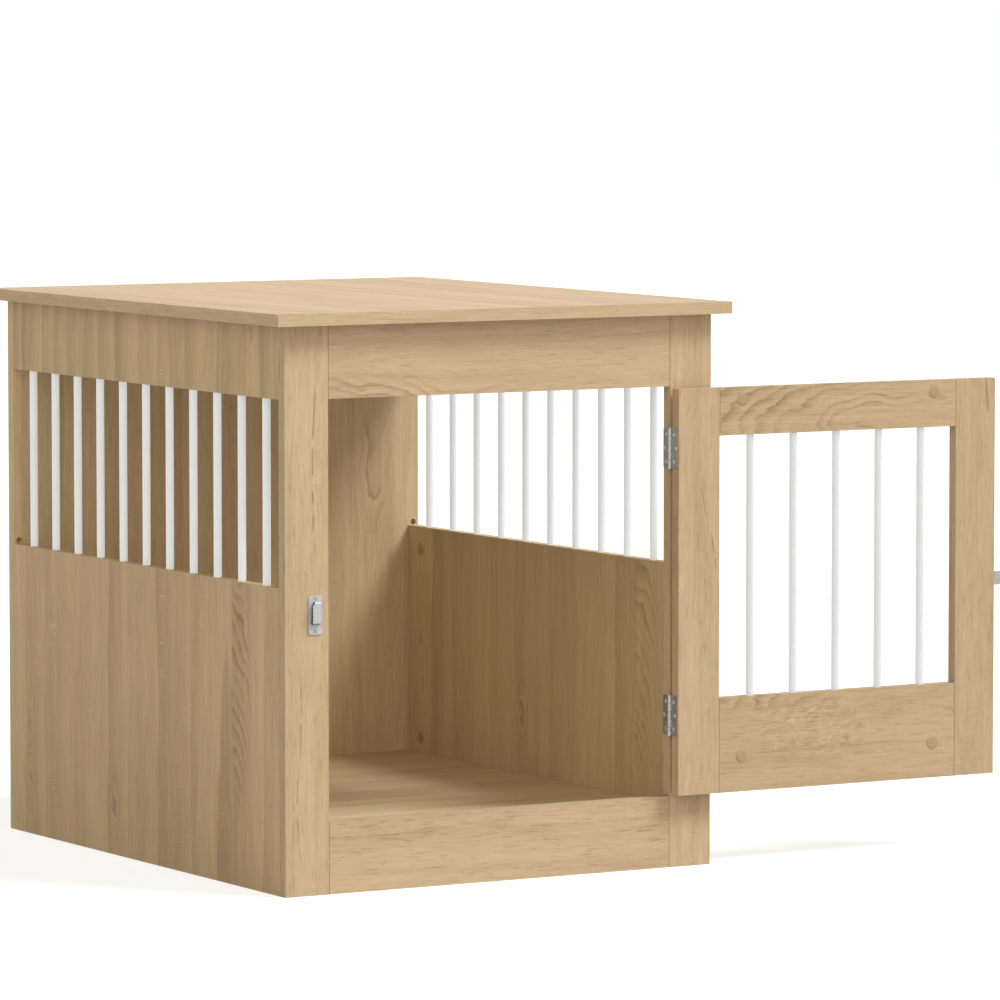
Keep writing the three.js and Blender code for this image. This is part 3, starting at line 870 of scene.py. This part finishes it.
def turned_knob():
    """The knob: a shank through the bolt, a neck, and a head with rounded edges."""
    low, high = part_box("bolt_knob")
    length = high.y - low.y
    head, shank, neck = (high.x - low.x) / 2, 0.002, 0.0025
    neck_from, head_from = length - 0.0115, length - 0.008
    nick, edge_break, neck_flare = 0.0003, 0.001, 0.0004
    rounding = ((0, 0.0018), (0.0004, 0.0008), (0.0014, 0.0001), (0.0022, 0))
    profile = [(0, 0), (shank, 0), (shank, neck_from), (neck, neck_from)]
    profile += [(neck, head_from - nick), (neck + neck_flare, head_from)]
    profile += [(head - edge_break, head_from), (head - nick, head_from + nick)]
    profile += [(head, head_from + edge_break)]
    profile += [(head - inward, length - back) for inward, back in rounding]
    profile += [(0, length)]
    mesh = turn("turned_knob", profile)
    round_off(mesh, math.radians(50))
    mesh.transform(Vector((0, 1, 0)).to_track_quat("Z", "Y").to_matrix().to_4x4())
    mesh.transform(Matrix.Translation(((low.x + high.x) / 2, low.y, (low.z + high.z) / 2)))
    knob = place_piece("turned_knob", mesh, "bolt", bolt_zinc)
    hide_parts("bolt_knob")


turned_knob()

# ---- The studio ---------------------------------------------------------------------------------
# A plain pale floor that runs out to white, a soft sun high on the right in front, a broader, weaker
# and warmer one low on the left in front, and even light from all round.


def studio_floor():
    finish, start = new_finish("studio_floor")
    matt = start.node("BsdfDiffuse", None, {"Color": (0.52, 0.52, 0.52, 1)})
    glow = start.node("Emission", None, {"Color": (1, 1, 1, 1), "Strength": 0.70})
    both = start.node("AddShader", None, {0: matt, 1: glow})
    seen = start.node("LightPath", output="Is Camera Ray")
    mirrored = seen.output("Is Glossy Ray")
    shown = seen.math("MAXIMUM", seen, mirrored)
    show(start.node("MixShader", None, {0: shown, 1: matt, 2: both}))
    return finish


floor_reach = 20
floor_mesh = bpy.data.meshes.new("floor")
floor_mesh.from_pydata(
    [(x * floor_reach, y * floor_reach, 0) for x, y in ((-1, -1), (1, -1), (1, 1), (-1, 1))],
    [],
    [(0, 1, 2, 3)],
)
floor_mesh.materials.append(studio_floor())
floor = bpy.data.objects.new("floor", floor_mesh)
bpy.context.scene.collection.objects.link(floor)

key_data = bpy.data.lights.new("key", "SUN")
key_data.energy = 2.7
key_data.angle = math.radians(21)
key = bpy.data.objects.new("key", key_data)
key.rotation_euler = Vector((-0.6, 0.571, -1)).to_track_quat("-Z", "Y").to_euler()
bpy.context.scene.collection.objects.link(key)

fill_data = bpy.data.lights.new("fill", "SUN")
fill_data.energy = 1.2
fill_data.angle = math.radians(70)
fill_data.color = (1.0, 0.95, 0.80)
fill = bpy.data.objects.new("fill", fill_data)
fill.rotation_euler = Vector((0.62, 0.74, -0.26)).to_track_quat("-Z", "Y").to_euler()
bpy.context.scene.collection.objects.link(fill)

world = bpy.data.worlds.new("studio")
world.use_nodes = True
world.node_tree.nodes.clear()
sky = Wire(world.node_tree)
seen = sky.node("LightPath", output="Is Camera Ray")
through_or_mirrored = seen.math(
    "MAXIMUM", seen.output("Is Glossy Ray"), seen.output("Is Transmission Ray")
)
shown = seen.math("MAXIMUM", seen, through_or_mirrored)
even = sky.node("Background", None, {"Color": (1.0, 0.975, 0.78, 1), "Strength": 0.365})
white = sky.node("Background", None, {"Color": (1, 1, 1, 1), "Strength": 1.0})
mixed = sky.node("MixShader", None, {0: shown, 1: even, 2: white})
made = world.node_tree.nodes.new("ShaderNodeOutputWorld")
world.node_tree.links.new(mixed.socket, made.inputs["Surface"])
bpy.context.scene.world = world
